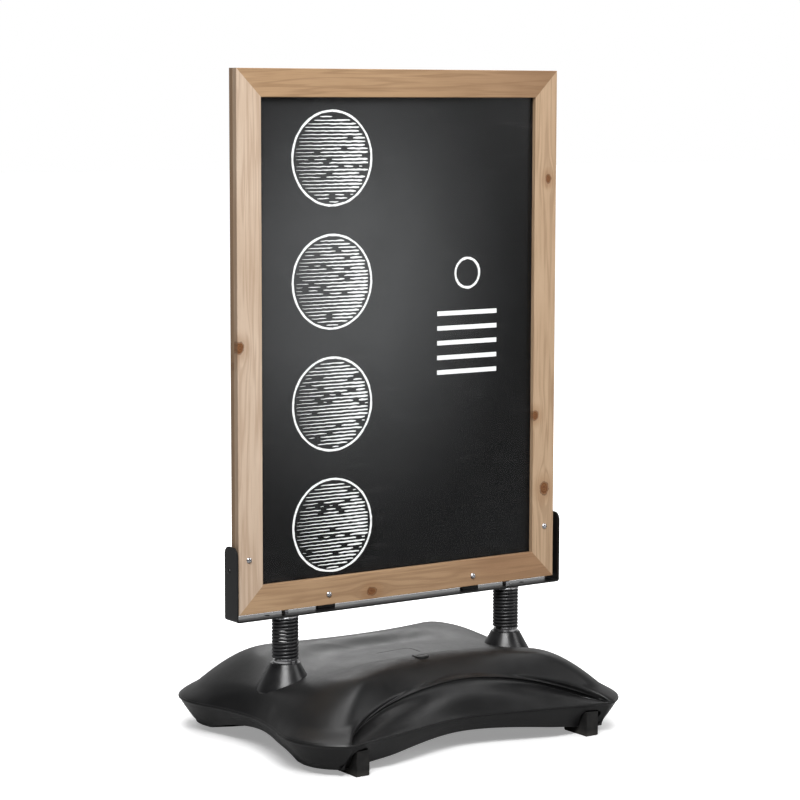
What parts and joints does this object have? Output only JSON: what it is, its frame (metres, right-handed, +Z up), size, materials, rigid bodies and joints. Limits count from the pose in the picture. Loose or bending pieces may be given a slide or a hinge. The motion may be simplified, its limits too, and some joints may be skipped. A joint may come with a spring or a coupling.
{
  "type": "spring-mounted pavement sign",
  "caption": "Free-standing poster sign: wooden frame in a steel cradle, on coil springs over a fillable four-lobed plastic base.",
  "frame": {"origin": "middle of the footprint, on the ground under the springs' common plane", "axes": "+X along the sign's width, +Y from the front face to the back, +Z up"},
  "size_m": [0.6912, 0.5244, 1.1555],
  "materials": {
    "tank_plastic": "fine-grained moulded polyethylene, worn satin on the edges",
    "ballast": "water or sand fill, hidden",
    "cap_plastic": "satin",
    "foot_rubber": "matt recycled rubber",
    "cone_plastic": "semi-gloss",
    "zinc_steel": "bright zinc plate",
    "spring_steel": "satin black coating, worn bright on the end turns",
    "plug_iron": "cast",
    "cradle_black": "satin black powder coat",
    "pine": "oiled softwood",
    "clear_sheet": "clear anti-glare sheet",
    "poster_print": "printed poster",
    "board_white": "foamed PVC board"
  },
  "bodies": {
    "base": {"base_tank": "tank_plastic", "ballast_fill": "ballast", "foot_front_left": "foot_rubber", "foot_front_right": "foot_rubber", "foot_rear_left": "foot_rubber", "foot_rear_right": "foot_rubber", "cap_seal": "foot_rubber", "spring_cone_left": "cone_plastic", "spring_cone_right": "cone_plastic", "seat_ring_left": "zinc_steel", "seat_ring_right": "zinc_steel", "lower_plug_left": "plug_iron", "lower_plug_right": "plug_iron", "anchor_bolts": "zinc_steel", "anchor_washers": "zinc_steel", "spring_left": "spring_steel", "spring_right": "spring_steel"},
    "cap": {"filler_cap": "cap_plastic"},
    "sign": {"upper_plug_left": "plug_iron", "upper_plug_right": "plug_iron", "plate_bolts": "zinc_steel", "cradle": "cradle_black", "frame_brackets": "cradle_black", "side_spacers": "cradle_black", "side_screws": "cradle_black", "rear_stile_left": "pine", "rear_stile_right": "pine", "rear_rail_top": "pine", "rear_rail_bottom": "pine", "backing_board": "board_white", "front_poster": "poster_print", "rear_poster": "poster_print", "rear_cover": "clear_sheet", "sleeve_nuts": "zinc_steel"},
    "front_frame": {"front_stile_left": "pine", "front_stile_right": "pine", "front_rail_top": "pine", "front_rail_bottom": "pine", "front_cover": "clear_sheet", "frame_screws": "zinc_steel"}
  },
  "joints": [
    {"name": "sign_swing", "type": "hinge", "parent": "base", "child": "sign", "pos_m": [0, 0, 0.1895], "axis": [1, 0, 0], "range_deg": [-20, 20], "stiffness_Nm_per_rad": 220, "deforming": ["spring_left", "spring_right"]},
    {"name": "front_frame_off", "type": "slide", "parent": "sign", "child": "front_frame", "axis": [0, -1, 0], "range_m": [0, 0.06]},
    {"name": "filler_cap_off", "type": "slide", "parent": "base", "child": "cap", "axis": [0, 0, 1], "range_m": [0, 0.03]}
  ]
}
